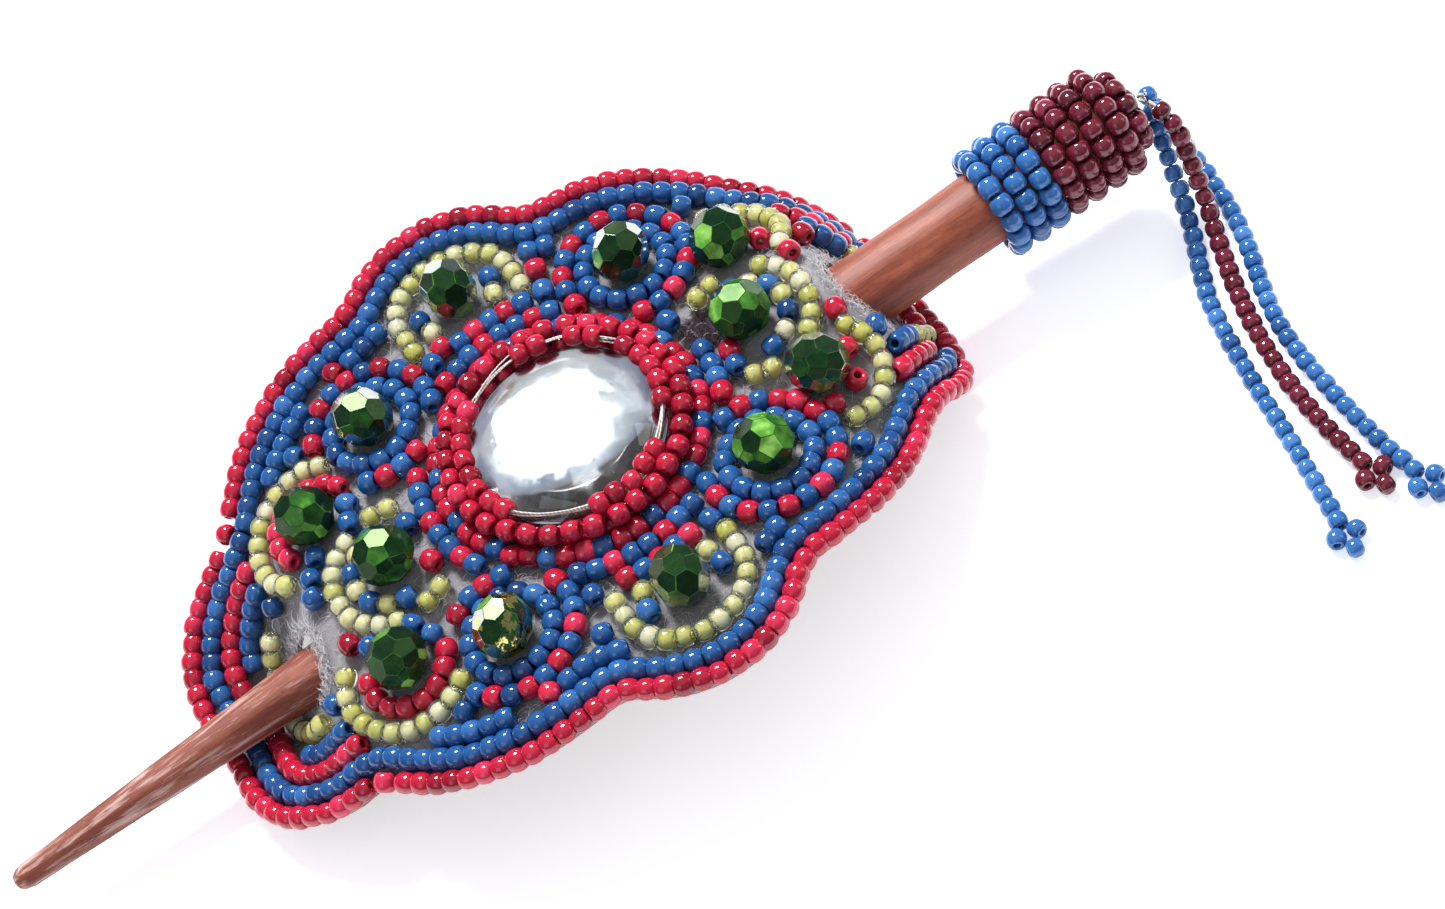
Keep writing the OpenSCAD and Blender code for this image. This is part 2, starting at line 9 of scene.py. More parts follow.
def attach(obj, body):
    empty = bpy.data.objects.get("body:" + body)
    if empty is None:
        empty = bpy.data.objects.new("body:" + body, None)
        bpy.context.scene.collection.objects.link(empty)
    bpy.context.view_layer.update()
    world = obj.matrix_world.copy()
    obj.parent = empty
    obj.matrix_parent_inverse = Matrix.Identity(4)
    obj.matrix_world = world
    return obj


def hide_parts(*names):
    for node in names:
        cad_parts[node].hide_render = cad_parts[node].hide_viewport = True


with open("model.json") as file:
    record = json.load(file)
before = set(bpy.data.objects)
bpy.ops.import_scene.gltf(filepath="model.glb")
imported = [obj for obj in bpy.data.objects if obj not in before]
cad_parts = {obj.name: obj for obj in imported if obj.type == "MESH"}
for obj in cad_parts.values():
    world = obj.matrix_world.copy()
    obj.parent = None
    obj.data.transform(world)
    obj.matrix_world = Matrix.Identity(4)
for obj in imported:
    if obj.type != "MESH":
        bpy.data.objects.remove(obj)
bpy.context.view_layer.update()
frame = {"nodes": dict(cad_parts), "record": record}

nodes = frame["nodes"]
scene = bpy.context.scene

MM = 0.001
SHIFT = 1.05          # mm, row frame from the middle of the mirror
TILT = math.radians(2.9)
STICK_HEIGHT = 8.9
BEAD_D = 2.12
PANEL_T = 1.7


# ------------------------------------------------------------------ camera

def stick_to_row(v):
    """From the stick's own axes (mm) to the row frame's (mm), without the shift."""
    c, s = math.cos(TILT), math.sin(TILT)
    return Vector((c * v[0] - s * v[2], v[1], s * v[0] + c * v[2]))


def make_camera():
    elev, azim, roll = math.radians(54.29), math.radians(-4.09), math.radians(31.64)
    ca, sa, ce, se = math.cos(azim), math.sin(azim), math.cos(elev), math.sin(elev)
    back = Vector((sa * ce, -ca * ce, se))
    right = Vector((ca, sa, 0))
    up = Vector((-se * sa, se * ca, ce))
    place = 450 * back + 12.43 * right - 4.57 * up
    cam_right = right * math.cos(roll) - up * math.sin(roll)
    cam_up = right * math.sin(roll) + up * math.cos(roll)
    cols = [stick_to_row(v) for v in (cam_right, cam_up, back)]
    place = (stick_to_row(place) + Vector((SHIFT, 0, STICK_HEIGHT))) * MM
    data = bpy.data.cameras.new("camera")
    data.sensor_width = 36
    data.sensor_fit = "HORIZONTAL"
    data.lens = 112.1
    data.clip_start = 0.01
    data.clip_end = 20
    cam = bpy.data.objects.new("camera", data)
    rot = Matrix((cols[0], cols[1], cols[2])).transposed().to_4x4()
    cam.matrix_world = Matrix.Translation(place) @ rot
    scene.collection.objects.link(cam)
    scene.camera = cam
    scene.view_settings.view_transform = "Standard"


make_camera()


# ------------------------------------------------------------------ helpers

def add(obj):
    scene.collection.objects.link(obj)
    return obj


def mesh_object(name, verts, faces, smooth=True):
    me = bpy.data.meshes.new(name)
    me.from_pydata([tuple(v) for v in verts], [], [tuple(f) for f in faces])
    me.update()
    if smooth:
        me.shade_smooth()
    return add(bpy.data.objects.new(name, me))


def quad_mesh(name, co, quads, smooth=True):
    """A mesh from arrays: points in metres and four-cornered faces."""
    me = bpy.data.meshes.new(name)
    me.vertices.add(len(co))
    me.vertices.foreach_set("co", np.ascontiguousarray(co, np.float32).ravel())
    me.loops.add(quads.size)
    me.loops.foreach_set("vertex_index", np.ascontiguousarray(quads, np.int32).ravel())
    me.polygons.add(len(quads))
    me.polygons.foreach_set("loop_start", np.arange(0, quads.size, 4, dtype=np.int32))
    me.polygons.foreach_set("use_smooth", np.full(len(quads), smooth))
    me.update(calc_edges=True)
    me.validate()
    return add(bpy.data.objects.new(name, me))


def wear(obj, material):
    obj.data.materials.clear()
    obj.data.materials.append(material)
    return obj


class Mat:
    """A material and its node tree, with short ways to add nodes."""

    def __init__(self, name):
        self.m = bpy.data.materials.new(name)
        self.m.use_nodes = True
        self.t = self.m.node_tree
        self.bsdf = self.t.nodes["Principled BSDF"]

    def node(self, kind, **values):
        n = self.t.nodes.new("ShaderNode" + kind)
        for k, v in values.items():
            if k in n.inputs:
                n.inputs[k].default_value = v
            else:
                setattr(n, k, v)
        return n

    def link(self, a, b):
        self.t.links.new(a, b)

    def set(self, **values):
        for k, v in values.items():
            self.bsdf.inputs[k.replace("_", " ")].default_value = v

    def ramp(self, fac, stops):
        r = self.node("ValToRGB")
        els = r.color_ramp.elements
        while len(els) < len(stops):
            els.new(0.5)
        for e, (pos, col) in zip(els, stops):
            e.position = pos
            e.color = (*col, 1)
        self.link(fac, r.inputs["Fac"])
        return r.outputs["Color"]

    def coords(self, scale=(1, 1, 1)):
        c = self.node("TexCoord")
        m = self.node("Mapping")
        m.inputs["Scale"].default_value = scale
        self.link(c.outputs["Object"], m.inputs["Vector"])
        return m.outputs["Vector"]

    def noise(self, vector, scale, detail=3.0, rough=0.5):
        n = self.node("TexNoise", Scale=scale, Detail=detail, Roughness=rough)
        self.link(vector, n.inputs["Vector"])
        return n.outputs["Fac"]

    def mix(self, fac, a, b):
        n = self.node("Mix", data_type="RGBA")
        for value, socket in ((fac, n.inputs["Factor"]), (a, n.inputs["A"]), (b, n.inputs["B"])):
            if isinstance(value, bpy.types.NodeSocket):
                self.link(value, socket)
            elif isinstance(value, tuple):
                socket.default_value = (*value, 1)
            else:
                socket.default_value = value
        colour = [s for s in n.outputs if s.type == "RGBA"][0]
        return colour

    def math(self, op, a, b=0.0):
        n = self.node("Math", operation=op)
        for i, value in enumerate((a, b)):
            if isinstance(value, bpy.types.NodeSocket):
                self.link(value, n.inputs[i])
            else:
                n.inputs[i].default_value = value
        return n.outputs[0]

    def bump(self, height, strength, distance):
        b = self.node("Bump", Strength=strength, Distance=distance)
        self.link(height, b.inputs["Height"])
        self.link(b.outputs["Normal"], self.bsdf.inputs["Normal"])


# ------------------------------------------------------------------ cord routes

ROUTES = {
    "front": [
        (67.4, -0.2, 11.6), (67.7, -0.6, 10.4), (67.6, -1.2, 9), (67.1, -2.4, 7), (66.5, -4.4, 4.8),
        (65.6, -7.4, 2.8), (64.3, -10.6, 1.5), (62.9, -13.8, 1.1), (61.3, -18, 1.1), (60.1, -24, 1.1),
        (59.2, -30, 1.1), (58.5, -36, 1.1), (57.6, -42, 1.1), (57, -46, 1.1), (56.6, -49, 1.1)],
    "middle": [
        (67.4, -0.4, 12.4), (68, -2.2, 11.8), (68.4, -3.9, 10.2), (68.3, -5, 8), (68, -6.6, 5.5),
        (67.4, -8.8, 3.2), (66.4, -11.6, 1.6), (65.4, -14.6, 1.1), (64.1, -19, 1.1), (62.8, -25, 1.1),
        (62.1, -31, 1.1), (62, -37, 1.1), (62.3, -41.5, 1.1), (62.6, -45, 1.1)],
    "back": [
        (67.6, 0.4, 12), (68.5, 1.7, 10), (69, 1.5, 7.6), (69.2, 0.1, 5.2), (69.6, -2.6, 3),
        (69.7, -6.2, 1.5), (69.2, -10.4, 1.1), (68.1, -14.8, 1.1), (66.5, -19.6, 1.1), (65.2, -25, 1.1),
        (64.8, -31, 1.1), (64.9, -37, 1.1), (65.2, -42.5, 1.1), (65.7, -46, 1.1), (66, -49, 1.1)],
}
THREAD_D = 0.4
knot_place = (stick_to_row((67.3, 0, 0)) + Vector((SHIFT, 0, STICK_HEIGHT))) * MM


def smooth_route(points, steps=6):
    p = [np.array(q, float) for q in points]
    n = len(p) - 1
    out = []
    for j in range(n * steps + 1):
        t = j / steps
        i = min(int(t), n - 1)
        u = t - i
        a, b, c, d = p[max(i - 1, 0)], p[i], p[i + 1], p[min(i + 2, n)]
        out.append(0.5 * (2 * b + (c - a) * u + (2 * a - 5 * b + 4 * c - d) * u * u
                          + (3 * b - a - 3 * c + d) * u ** 3))
    return np.array(out)


def cut_route(pts, start, stop):
    """Points along a line between two running lengths, in mm."""
    s = np.concatenate([[0], np.cumsum(np.linalg.norm(np.diff(pts, axis=0), axis=1))])
    at = np.linspace(start, s[-1] - stop, 38)
    return np.stack([np.interp(at, s, pts[:, k]) for k in range(3)], axis=1)


def thread_curve(name, points, diameter):
    data = bpy.data.curves.new(name, "CURVE")
    data.dimensions = "3D"
    data.bevel_depth = diameter / 2
    data.bevel_resolution = 3
    sp = data.splines.new("POLY")
    sp.points.add(len(points) - 1)
    for q, p in zip(sp.points, points):
        q.co = (*p, 1)
    return add(bpy.data.objects.new(name, data))


threads = {}
for key, pts in ROUTES.items():
    line = (cut_route(smooth_route(pts), 0.5, 1.4) + np.array([SHIFT, 0, 0])) * MM
    threads[key] = (thread_curve("thread_line_" + key, line, THREAD_D * MM), line)


# ------------------------------------------------------------------ the panel's form (mm)

LOBES = [(-1.5, 20.6, 12.3), (0.5, -20.4, 12.5), (12, 6, 20.6), (12, -6, 20.6), (-14, 6, 22.3),
         (-14, -6, 22.3), (25.5, 4.5, 12), (25.5, -4.5, 12), (-33.5, 5, 11.6), (-33.5, -5, 11.6)]
HOLES = [(-33.2, 2.8, 5.6), (32, 2.9, 5.6)]
FELT_HOLES = [(-33.95, 2.05, 3.5), (32.65, 2.25, 4.5)]  # the felt closes in on the stick
PANEL_TOP = 15.6
WORN = (17.3, 2.6)


def outline_r(a):
    """Distance from the middle to the line of the edge beads, at angle a (radians)."""
    total = np.zeros_like(a)
    for x, y, r in LOBES:
        along = x * np.cos(a) + y * np.sin(a)
        reach = along ** 2 - (x * x + y * y) + r * r
        out = np.where(reach > 0, np.maximum(0, along + np.sqrt(np.maximum(reach, 0))), 0)
        total += (out / 40) ** 30
    return total ** (1 / 30) * 40


def felt_z(x, y):
    x, y = np.asarray(x, float), np.asarray(y, float)
    m = np.maximum(np.abs(x) - 10, 0)
    fall = np.where(x < 0, 0.0412 * m ** 1.6, 0.00753 * m ** 2.3)
    left = PANEL_TOP - PANEL_T - fall
    edge = PANEL_T + (left + np.sqrt(left ** 2 + 1.6 ** 2)) / 2

    def smooth(t):
        t = np.clip(t, 0, 1)
        return t * t * (3 - 2 * t)
    ridge = PANEL_TOP + np.where(x < 0, -3 * (m / 20.5) ** 1.6, 0.9 * smooth(m / 19))
    hx = np.where(x < 0, 33.2, 32.0)
    hy = np.where(x < 0, 2.8, 2.9)
    past = smooth((np.abs(x) - hx + hy) / (2.8 * hy))
    lift = (ridge - edge) * np.exp(-(y / 15) ** 2)
    press = (PANEL_T - edge) * np.exp(-(y / 9) ** 2)
    return edge + (1 - past) * lift + past * press


def felt_normal(x, y):
    d = 0.2
    gx = (felt_z(x + d, y) - felt_z(x - d, y)) / (2 * d)
    gy = (felt_z(x, y + d) - felt_z(x, y - d)) / (2 * d)
    n = np.stack([-gx, -gy, np.ones_like(gx)], axis=-1)
    return n / np.linalg.norm(n, axis=-1, keepdims=True)


# ------------------------------------------------------------------ beads

def solids_of(node):
    """Middle and hole direction of every loose bead of a CAD node, in metres."""
    me = nodes[node].data
    co = np.zeros(len(me.vertices) * 3)
    me.vertices.foreach_get("co", co)
    co = co.reshape(-1, 3)
    me.calc_loop_triangles()
    tri = np.zeros(len(me.loop_triangles) * 3, int)
    me.loop_triangles.foreach_get("vertices", tri)
    tri = tri.reshape(-1, 3)
    _, weld = np.unique(np.round(co / 2e-6).astype(np.int64), axis=0, return_inverse=True)
    weld = weld.ravel()
    wt = weld[tri]
    lab = np.arange(weld.max() + 1)
    edges = np.concatenate([wt[:, [0, 1]], wt[:, [1, 2]], wt[:, [2, 0]]])
    while True:
        low = np.minimum(lab[edges[:, 0]], lab[edges[:, 1]])
        new = lab.copy()
        np.minimum.at(new, edges[:, 0], low)
        np.minimum.at(new, edges[:, 1], low)
        new = new[new]
        if (new == lab).all():
            break
        lab = new
    ids, island = np.unique(lab[wt[:, 0]], return_inverse=True)
    island = island.ravel()
    p = co[tri]
    base = np.array([p[island == k][0, 0] for k in range(len(ids))])
    p = p - base[island][:, None, :]
    vol = np.einsum("ij,ij->i", p[:, 0], np.cross(p[:, 1], p[:, 2])) / 6
    total = np.zeros(len(ids))
    np.add.at(total, island, vol)
    mid = np.zeros((len(ids), 3))
    np.add.at(mid, island, vol[:, None] * p.sum(1) / 4)
    mid /= total[:, None]
    q = p - mid[island][:, None, :]
    vol = np.einsum("ij,ij->i", q[:, 0], np.cross(q[:, 1], q[:, 2])) / 6
    s = q.sum(1)
    second = (np.einsum("nij,nik->njk", q, q) + np.einsum("nj,nk->njk", s, s)) * vol[:, None, None] / 20
    tensor = np.zeros((len(ids), 3, 3))
    np.add.at(tensor, island, second)
    _, vec = np.linalg.eigh(tensor)
    return mid + base, vec[:, :, 0]


def bead_template(around=16, reach=1.10, hole=0.36, half=0.80):
    """A round glass bead, its hole along Z, in mm: points and faces."""
    side = [(1.0, 0.0), (0.985, 0.24), (0.93, 0.46), (0.83, 0.66), (0.71, 0.80)]
    upper = [(reach * r, z) for r, z in side]
    upper += [(reach * 0.58, 0.845), (hole + 0.09, 0.80), (hole, 0.66)]
    upper = [(r, z * half / 0.80) for r, z in upper]
    prof = upper + [(r, -z) for r, z in reversed(upper[1:])]
    ring = len(prof)
    pts = []
    for i in range(around):
        t = 2 * math.pi * i / around
        pts += [(r * math.cos(t), r * math.sin(t), z) for r, z in prof]
    quads = []
    for i in range(around):
        for k in range(ring):
            a, b = i * ring, (i + 1) % around * ring
            k2 = (k + 1) % ring
            quads.append((a + k, b + k, b + k2, a + k2))
    return np.array(pts), np.array(quads)


def lay_beads(name, centres, axes, seed, size=1.0, jitter=0.05, lean=5.0, template=None, long=1.0):
    """One mesh of slightly uneven beads, with a random number per bead in the attribute "tint"."""
    pts, quads = template or bead_template()
    rng = np.random.default_rng(seed)
    n = len(centres)
    axes = axes + rng.normal(0, math.radians(lean) / 2, (n, 3))
    axes /= np.linalg.norm(axes, axis=1, keepdims=True)
    side = np.cross(axes, np.array([0.31, 0.52, 0.79]))
    side /= np.linalg.norm(side, axis=1, keepdims=True)
    third = np.cross(axes, side)
    turn = rng.uniform(0, 2 * math.pi, n)[:, None]
    u = np.cos(turn) * side + np.sin(turn) * third
    v = np.cross(axes, u)
    wide = size * rng.uniform(0.94, 1.04, n)[:, None, None]
    oval = rng.uniform(0.97, 1.03, n)[:, None, None]
    tall = size * long * rng.uniform(0.93, 1.05, n)[:, None, None]
    basis = np.stack([u, v, axes], axis=1)
    local = np.repeat(pts[None], n, axis=0)
    local = np.concatenate([local[:, :, :1] * wide * oval, local[:, :, 1:2] * wide / oval,
                            local[:, :, 2:] * tall], axis=2)
    shift = rng.normal(0, jitter / 2, (n, 1, 3)) * MM
    world = centres[:, None, :] + shift + np.einsum("nij,njk->nik", local, basis) * MM
    faces = (quads[None] + (np.arange(n) * len(pts))[:, None, None]).reshape(-1, 4)
    obj = quad_mesh(name, world.reshape(-1, 3), faces)
    for attr in ("tint", "tint2"):
        a = obj.data.attributes.new(attr, "FLOAT", "POINT")
        a.data.foreach_set("value", np.repeat(rng.uniform(0, 1, n), len(pts)).astype(np.float32))
    return obj


def glass_bead(name, dark, base, light, rough=0.045):
    m = Mat(name)
    t = m.node("Attribute", attribute_name="tint").outputs["Fac"]
    colour = m.ramp(t, [(0.0, dark), (0.3, base), (0.8, base), (1.0, light)])
    v = m.coords()
    blot = m.noise(v, 900, 2)
    colour = m.mix(m.math("MULTIPLY", blot, 0.3), colour, dark)
    m.link(colour, m.bsdf.inputs["Base Color"])
    t2 = m.node("Attribute", attribute_name="tint2").outputs["Fac"]
    r = m.math("ADD", m.math("MULTIPLY", t2, 0.07), rough)
    m.link(r, m.bsdf.inputs["Roughness"])
    m.set(IOR=1.52, Subsurface_Weight=0.0)
    m.bump(m.noise(v, 1500, 2), 0.10, 0.00008)
    return m.m


RED = glass_bead("bead_red", (0.22, 0.002, 0.014), (0.44, 0.008, 0.034), (0.60, 0.024, 0.075))
BLUE = glass_bead("bead_blue", (0.005, 0.035, 0.13), (0.012, 0.080, 0.26), (0.030, 0.13, 0.37))
SKY = glass_bead("bead_cap_blue", (0.012, 0.07, 0.23), (0.028, 0.135, 0.39), (0.06, 0.20, 0.50))
WINE = glass_bead("bead_burgundy", (0.07, 0.005, 0.012), (0.14, 0.011, 0.026), (0.21, 0.024, 0.05))


def lined_shell():
    m = Mat("bead_clear_yellow")
    t = m.node("Attribute", attribute_name="tint").outputs["Fac"]
    m.link(m.ramp(t, [(0.0, (0.90, 0.92, 0.70)), (0.5, (0.96, 0.97, 0.84)), (1.0, (0.99, 0.99, 0.95))]),
           m.bsdf.inputs["Base Color"])
    m.set(Roughness=0.03, IOR=1.5, Transmission_Weight=0.97)
    return m.m


def lined_core():
    m = Mat("bead_cream_lining")
    t = m.node("Attribute", attribute_name="tint").outputs["Fac"]
    m.link(m.ramp(t, [(0.0, (0.62, 0.60, 0.10)), (0.5, (0.86, 0.83, 0.32)), (1.0, (1.0, 0.97, 0.70))]),
           m.bsdf.inputs["Base Color"])
    m.set(Roughness=0.4)
    return m.m


YELLOW_SHELL, YELLOW_CORE = lined_shell(), lined_core()

SHADES = {
    RED: ["bezel_lower_beads", "bezel_middle_beads", "bezel_upper_beads", "mirror_ring_inner_red",
          "mirror_ring_outer_red", "edge_beads", "corner_ring_outer_red", "shoulder_arc_red",
          "tab_row_red", "filler_beads_red"],
    BLUE: ["mirror_ring_inner_blue", "mirror_ring_outer_blue", "border_beads", "corner_ring_inner",
           "corner_ring_outer_blue", "side_beads_blue", "top_beads_blue", "tab_row_blue",
           "filler_beads_blue"],
    YELLOW_SHELL: ["shoulder_arc_yellow", "side_arc_yellow", "side_beads_yellow", "top_arc_yellow",
                   "top_beads_yellow", "hole_arc_yellow"],
    SKY: ["cap_beads_blue", "strand_front", "strand_back", "strand_end_front", "strand_end_back"],
    WINE: ["cap_beads_burgundy", "cap_end_beads", "strand_middle", "strand_end_middle"],
}
# how evenly the beads of each part lie: size, jitter (mm), lean (degrees) and length
LOOKS = {
    "strand": {"size": 2.0 / BEAD_D, "jitter": 0.03, "lean": 5, "long": 1.04},
    "cap_end": {"size": 1.0, "jitter": 0.03, "lean": 5, "long": 1.04},
    "cap": {"size": 1.08, "jitter": 0.03, "lean": 5, "long": 1.04},
    "bezel": {"size": 1.02, "jitter": 0.16, "lean": 16, "long": 1.12},
    "": {"size": 1.06, "jitter": 0.08, "lean": 9, "long": 1.12},
}


def looks_of(node):
    return next(looks for start, looks in LOOKS.items() if node.startswith(start))


body_of = {n: b for b, ns in frame["record"]["behaviour"]["bodies"].items() for n in ns}
seed = 11
for material, names in SHADES.items():
    for node in names:
        seed += 1
        centres, axes = solids_of(node)
        o = lay_beads("beads_" + node, centres, axes, seed, **looks_of(node))
        wear(o, material)
        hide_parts(node)
        if material is YELLOW_SHELL:
            core = lay_beads("lining_" + node, centres, axes, seed, size=1.0, jitter=0.08, lean=9,
                             template=bead_template(12, 0.66, 0.30, 0.60), long=0.92)
            wear(core, YELLOW_CORE)
            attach(core, body_of[node])
        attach(o, body_of[node])


# ------------------------------------------------------------------ tassel threads and knot

def thread_material():
    m = Mat("thread")
    w = m.node("TexWave", wave_type="BANDS", Scale=900.0, Distortion=1.5)
    m.link(m.coords((1, 1, 1)), w.inputs["Vector"])
    m.link(m.ramp(w.outputs["Fac"], [(0, (0.45, 0.42, 0.38)), (1, (0.78, 0.76, 0.72))]),
           m.bsdf.inputs["Base Color"])
    m.set(Roughness=0.7, Sheen_Weight=0.3)
    m.bump(w.outputs["Fac"], 0.4, 0.0001)
    return m.m


THREAD = thread_material()
for key, (obj, line) in threads.items():
    obj.data.materials.append(THREAD)
    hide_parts("thread_" + key)
    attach(obj, key + "_strand")


def trefoil(name, centre, size, thick, direction):
    """A small overhand knot of thread, as one closed tube."""
    n, k = 60, 6
    z = Vector(direction).normalized()
    x = z.orthogonal().normalized()
    y = z.cross(x)
    line = []
    for i in range(n):
        t = 2 * math.pi * i / n
        p = ((math.sin(t) + 2 * math.sin(2 * t)) / 3, (math.cos(t) - 2 * math.cos(2 * t)) / 3,
             -math.sin(3 * t) * 0.55)
        line.append(centre + size * (p[0] * x + p[1] * y + p[2] * z))
    verts, faces = [], []
    for i in range(n):
        d = (line[(i + 1) % n] - line[i - 1]).normalized()
        a = d.cross(z if abs(d.dot(z)) < 0.9 else x).normalized()
        b = d.cross(a)
        verts += [line[i] + thick * (math.cos(2 * math.pi * j / k) * a + math.sin(2 * math.pi * j / k) * b)
                  for j in range(k)]
    for i in range(n):
        i2 = (i + 1) % n
        # the ring of points turns against its neighbour's, so each is matched to the nearest
        off = min(range(k), key=lambda s: sum((verts[i * k + j] - verts[i2 * k + (j + s) % k]).length
                                              for j in range(k)))
        faces += [(i * k + j, i * k + (j + 1) % k, i2 * k + (j + 1 + off) % k, i2 * k + (j + off) % k)
                  for j in range(k)]
    return mesh_object(name, verts, faces)


knot = wear(trefoil("knot_of_thread", knot_place, 0.42 * MM, 0.17 * MM, stick_to_row((1, 0, 0))), THREAD)
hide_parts("tassel_knot")
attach(knot, "tassel")


# ------------------------------------------------------------------ felt, card and leather

def sheet_mesh(name, top, bottom, margin=0.5, turns=240, rings=64, hole_margin=0.0, holes=HOLES):
    """A thin sheet under the felt's surface, with the two oval holes left open."""
    a = np.linspace(0, 2 * np.pi, turns, endpoint=False)
    edge = outline_r(a) + margin
    f = np.linspace(0.02, 1, rings)
    x = np.outer(f, edge * np.cos(a))
    y = np.outer(f, edge * np.sin(a))
    # points near a hole's rim are drawn onto it, so that the rim is a clean oval
    keep = np.ones(x.shape, bool)
    for hx, hw, hh in holes:
        u, v = (x - hx) / (hw + hole_margin), y / (hh + hole_margin)
        d = np.sqrt(u * u + v * v)
        near = (d > 0.84) & (d < 1.16)
        x = np.where(near, hx + (x - hx) / d, x)
        y = np.where(near, y / d, y)
        keep &= d > 0.84
    z = felt_z(x, y)
    nrm = felt_normal(x, y)
    pts_top = np.stack([x, y, z], -1) - top * nrm
    pts_bot = np.stack([x, y, z], -1) - bottom * nrm
    shift = np.array([SHIFT, 0, 0])
    bm = bmesh.new()
    vt = [[bm.verts.new((p + shift) * MM) for p in row] for row in pts_top]
    vb = [[bm.verts.new((p + shift) * MM) for p in row] for row in pts_bot]
    for r in range(rings - 1):
        for i in range(turns):
            j = (i + 1) % turns
            if keep[r, i] and keep[r + 1, i] and keep[r, j] and keep[r + 1, j]:
                bm.faces.new((vt[r][i], vt[r + 1][i], vt[r + 1][j], vt[r][j]))
                bm.faces.new((vb[r][j], vb[r + 1][j], vb[r + 1][i], vb[r][i]))
    bm.faces.new(vt[0])
    bm.faces.new(list(reversed(vb[0])))
    for v in [v for v in bm.verts if not v.link_faces]:
        bm.verts.remove(v)
    # walls between the two skins, at the outer edge and round the holes
    partner = {}
    for rt, rb in zip(vt, vb):
        for a_, b_ in zip(rt, rb):
            if a_.is_valid and b_.is_valid:
                partner[a_] = b_
    open_edges = [e for e in bm.edges if len(e.link_faces) == 1 and all(v in partner for v in e.verts)]
    for e in open_edges:
        loop = [l for l in e.link_faces[0].loops if l.edge == e][0]
        p, q = loop.vert, loop.link_loop_next.vert
        bm.faces.new((q, p, partner[p], partner[q]))
    bm.normal_update()
    me = bpy.data.meshes.new(name)
    bm.to_mesh(me)
    bm.free()
    me.shade_smooth()
    me.set_sharp_from_angle(angle=math.radians(50))
    return add(bpy.data.objects.new(name, me))


def felt_material():
    m = Mat("felt")
    v = m.coords()
    big = m.noise(v, 160, 3)
    small = m.noise(v, 2600, 5, 0.7)
    # the felt's grey, darkened all over so that the gaps between the beads read darker: partly its own grey,
    # partly painted shade
    colour = m.ramp(big, [(0.25, (0.19, 0.19, 0.21)), (0.55, (0.30, 0.29, 0.31)),
                          (0.8, (0.41, 0.40, 0.42))])
    colour = m.mix(m.math("MULTIPLY", small, 0.5), colour, (0.12, 0.12, 0.15))
    # the worn spot beside the mirror is nearly black
    away = m.node("VectorMath", operation="DISTANCE")
    flat = m.coords((1, 1, 0))
    m.link(flat, away.inputs[0])
    away.inputs[1].default_value = ((WORN[0] + SHIFT) * MM, WORN[1] * MM, 0)
    ragged = m.math("ADD", away.outputs["Value"], m.math("MULTIPLY", m.noise(v, 700, 4), 0.002))
    spot = m.ramp(m.math("MULTIPLY", ragged, 200.0), [(0.66, (1, 1, 1)), (0.80, (0, 0, 0))])
    colour = m.mix(spot, colour, (0.014, 0.005, 0.009))
    m.link(colour, m.bsdf.inputs["Base Color"])
    m.set(Roughness=0.95, Sheen_Weight=0.12, Sheen_Roughness=0.6)
    m.bump(small, 0.8, 0.0003)
    return m.m


def fuzz(name, count, seed, spot=False):
    """Short curled fibres that stand off the felt, crowded round the holes."""
    rng = np.random.default_rng(seed)
    if spot:
        r, a = 2.5 * np.sqrt(rng.uniform(0, 1, count)), rng.uniform(0, 2 * np.pi, count)
        x, y = WORN[0] + r * np.cos(a), WORN[1] + r * np.sin(a)
    else:
        a = rng.uniform(0, 2 * np.pi, count)
        f = np.sqrt(rng.uniform(0.12, 0.95, count)) * outline_r(a)
        x, y = f * np.cos(a), f * np.sin(a)
        for k, (hx, hw, hh) in enumerate(FELT_HOLES):
            rim = slice(k * count // 8, (k + 1) * count // 8)
            b = rng.uniform(0, 2 * np.pi, count // 8)
            off = rng.uniform(0, 0.9, count // 8)
            x[rim], y[rim] = hx + (hw + off) * np.cos(b), (hh + off) * np.sin(b)
        open_ = np.ones(count, bool)
        for hx, hw, hh in FELT_HOLES:
            open_ &= ((x - hx) / hw) ** 2 + (y / hh) ** 2 > 0.98
        x, y = x[open_], y[open_]
    n = len(x)
    nrm = felt_normal(x, y)
    start = np.stack([x, y, felt_z(x, y)], -1)
    way = np.cross(nrm, rng.normal(0, 1, (n, 3)))
    way /= np.linalg.norm(way, axis=1, keepdims=True)
    side = np.cross(nrm, way)
    length = rng.uniform(0.5, 1.7, n)[:, None]
    lift = rng.uniform(0.15, 0.75, n)[:, None]
    curl = rng.uniform(-0.7, 0.7, n)[:, None]
    thick = rng.uniform(0.024, 0.042, n)[:, None]
    steps = 5
    verts = np.zeros((n, steps, 3, 3))
    for s in range(steps):
        u = s / (steps - 1)
        mid = start + length * (u * way + curl * u * u * side) + lift * math.sin(2.2 * u) * nrm
        for c in range(3):
            w = 2 * math.pi * c / 3
            verts[:, s, c] = mid + thick * (1 - 0.5 * u) * (math.cos(w) * nrm + math.sin(w) * side)
    verts[..., 0] += SHIFT
    one = [(s * 3 + c, s * 3 + (c + 1) % 3, s * 3 + 3 + (c + 1) % 3, s * 3 + 3 + c)
           for s in range(steps - 1) for c in range(3)]
    quads = (np.array(one)[None] + (np.arange(n) * steps * 3)[:, None, None]).reshape(-1, 4)
    return quad_mesh(name, verts.reshape(-1, 3) * MM, quads)


def fibre_material(name, colour):
    m = Mat(name)
    m.set(Base_Color=(*colour, 1), Roughness=0.9, Sheen_Weight=0.3)
    return m.m


